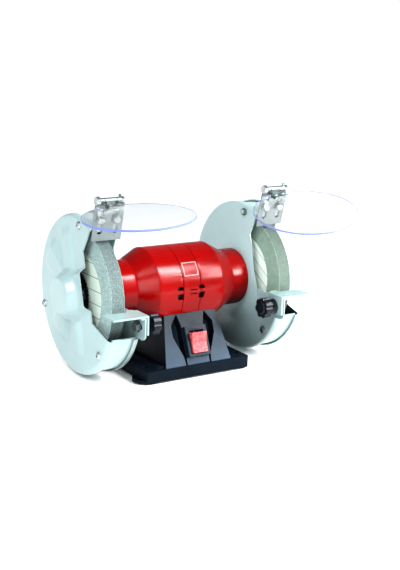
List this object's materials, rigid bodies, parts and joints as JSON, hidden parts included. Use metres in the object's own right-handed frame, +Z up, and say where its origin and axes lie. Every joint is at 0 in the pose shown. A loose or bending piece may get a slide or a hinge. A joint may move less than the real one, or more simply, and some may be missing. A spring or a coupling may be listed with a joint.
{
  "type": "bench grinder",
  "caption": "Bench grinder with a wheel at each end of a central motor on a pedestal base, with guards, adjustable tool rests, clear tilting eye shields and a rocker switch.",
  "frame": {"origin": "on the bench, at the middle of the four bench-bolt holes, straight under the middle of the shaft", "axes": "+X along the shaft to the right as seen from the front, -Y to the front where the rests and the switch are, +Z up"},
  "size_m": [0.3389, 0.2651, 0.2195],
  "materials": {
    "base_plastic": "satin",
    "pedestal_plastic": "satin",
    "switch_plastic": "gloss",
    "rocker_plastic": "gloss, translucent",
    "capacitor_case": "satin",
    "rubber": "matte",
    "red_paint": "gloss",
    "core_steel": "matte",
    "winding": "varnished",
    "bright_steel": "bright zinc",
    "plated_steel": "zinc plated",
    "grit_coarse": "coarse abrasive grain",
    "grit_fine": "fine abrasive grain",
    "label_paper": "matte",
    "guard_paint": "satin",
    "rest_paint": "satin",
    "knob_plastic": "satin",
    "clear_plastic": "clear polycarbonate"
  },
  "bodies": {
    "frame": {"base": "base_plastic", "base_plate": "plated_steel", "base_plate_screws": "bright_steel", "rubber_feet": "rubber", "pedestal": "pedestal_plastic", "switch_block": "switch_plastic", "switch_body": "switch_plastic", "capacitor": "capacitor_case", "cord_gland": "rubber", "motor_bell_left": "red_paint", "motor_bell_right": "red_paint", "motor_band": "red_paint", "motor_badge": "red_paint", "motor_mount_bolts": "bright_steel", "stator_core": "core_steel", "stator_windings": "winding", "motor_bearings": "bright_steel", "guard_plate_left": "guard_paint", "guard_plate_right": "guard_paint", "guard_wall_left": "guard_paint", "guard_wall_right": "guard_paint", "guard_cover_left": "guard_paint", "guard_cover_right": "guard_paint", "guard_screws": "bright_steel", "guard_nuts": "bright_steel", "bracket_screws": "bright_steel", "bracket_washers": "plated_steel", "bracket_nuts": "plated_steel"},
    "rotor": {"shaft": "bright_steel", "rotor_core": "core_steel", "wheel_left": "grit_coarse", "wheel_right": "grit_fine", "wheel_labels_left": "label_paper", "wheel_labels_right": "label_paper", "wheel_flanges_left": "plated_steel", "wheel_flanges_right": "plated_steel", "spindle_nuts": "bright_steel"},
    "rocker": {"rocker": "rocker_plastic"},
    "rest_left": {"tool_rest_left": "rest_paint", "rest_bolt_left": "bright_steel", "rest_washers_left": "plated_steel"},
    "knob_left": {"rest_knob_left": "knob_plastic"},
    "bracket_left": {"shield_bracket_left": "plated_steel", "hinge_bolt_left": "bright_steel"},
    "shield_left": {"shield_disc_left": "clear_plastic", "shield_clamp_left": "plated_steel"},
    "rest_right": {"tool_rest_right": "rest_paint", "rest_bolt_right": "bright_steel", "rest_washers_right": "plated_steel"},
    "knob_right": {"rest_knob_right": "knob_plastic"},
    "bracket_right": {"shield_bracket_right": "plated_steel", "hinge_bolt_right": "bright_steel"},
    "shield_right": {"shield_disc_right": "clear_plastic", "shield_clamp_right": "plated_steel"}
  },
  "joints": [
    {"name": "rotor_spin", "type": "hinge", "parent": "frame", "child": "rotor", "pos_m": [0, 0, 0.099], "axis": [1, 0, 0], "continuous": true},
    {"name": "rocker_tip", "type": "hinge", "parent": "frame", "child": "rocker", "pos_m": [0, -0.05908, 0.0415], "axis": [1, 0, 0], "range_deg": [-20.6, 0]},
    {"name": "rest_slide_left", "type": "slide", "parent": "frame", "child": "rest_left", "axis": [0, -1, 0], "range_m": [-0.0015, 0.0055]},
    {"name": "knob_turn_left", "type": "hinge", "parent": "rest_left", "child": "knob_left", "pos_m": [-0.0762, -0.086, 0.0796], "axis": [-1, 0, 0], "range_deg": [0, 720]},
    {"name": "bracket_slide_left", "type": "slide", "parent": "frame", "child": "bracket_left", "axis": [0, -0.2351, 0.972], "range_m": [-0.0015, 0.0115]},
    {"name": "shield_tilt_left", "type": "hinge", "parent": "bracket_left", "child": "shield_left", "pos_m": [-0.1098, -0.051, 0.2129], "axis": [1, 0, 0], "range_deg": [-80, 18.4]},
    {"name": "rest_slide_right", "type": "slide", "parent": "frame", "child": "rest_right", "axis": [0, -1, 0], "range_m": [-0.0015, 0.0055]},
    {"name": "knob_turn_right", "type": "hinge", "parent": "rest_right", "child": "knob_right", "pos_m": [0.0762, -0.086, 0.0796], "axis": [1, 0, 0], "range_deg": [0, 720]},
    {"name": "bracket_slide_right", "type": "slide", "parent": "frame", "child": "bracket_right", "axis": [0, -0.2351, 0.972], "range_m": [-0.0015, 0.0115]},
    {"name": "shield_tilt_right", "type": "hinge", "parent": "bracket_right", "child": "shield_right", "pos_m": [0.1098, -0.051, 0.2129], "axis": [1, 0, 0], "range_deg": [-80, 8.7]}
  ]
}
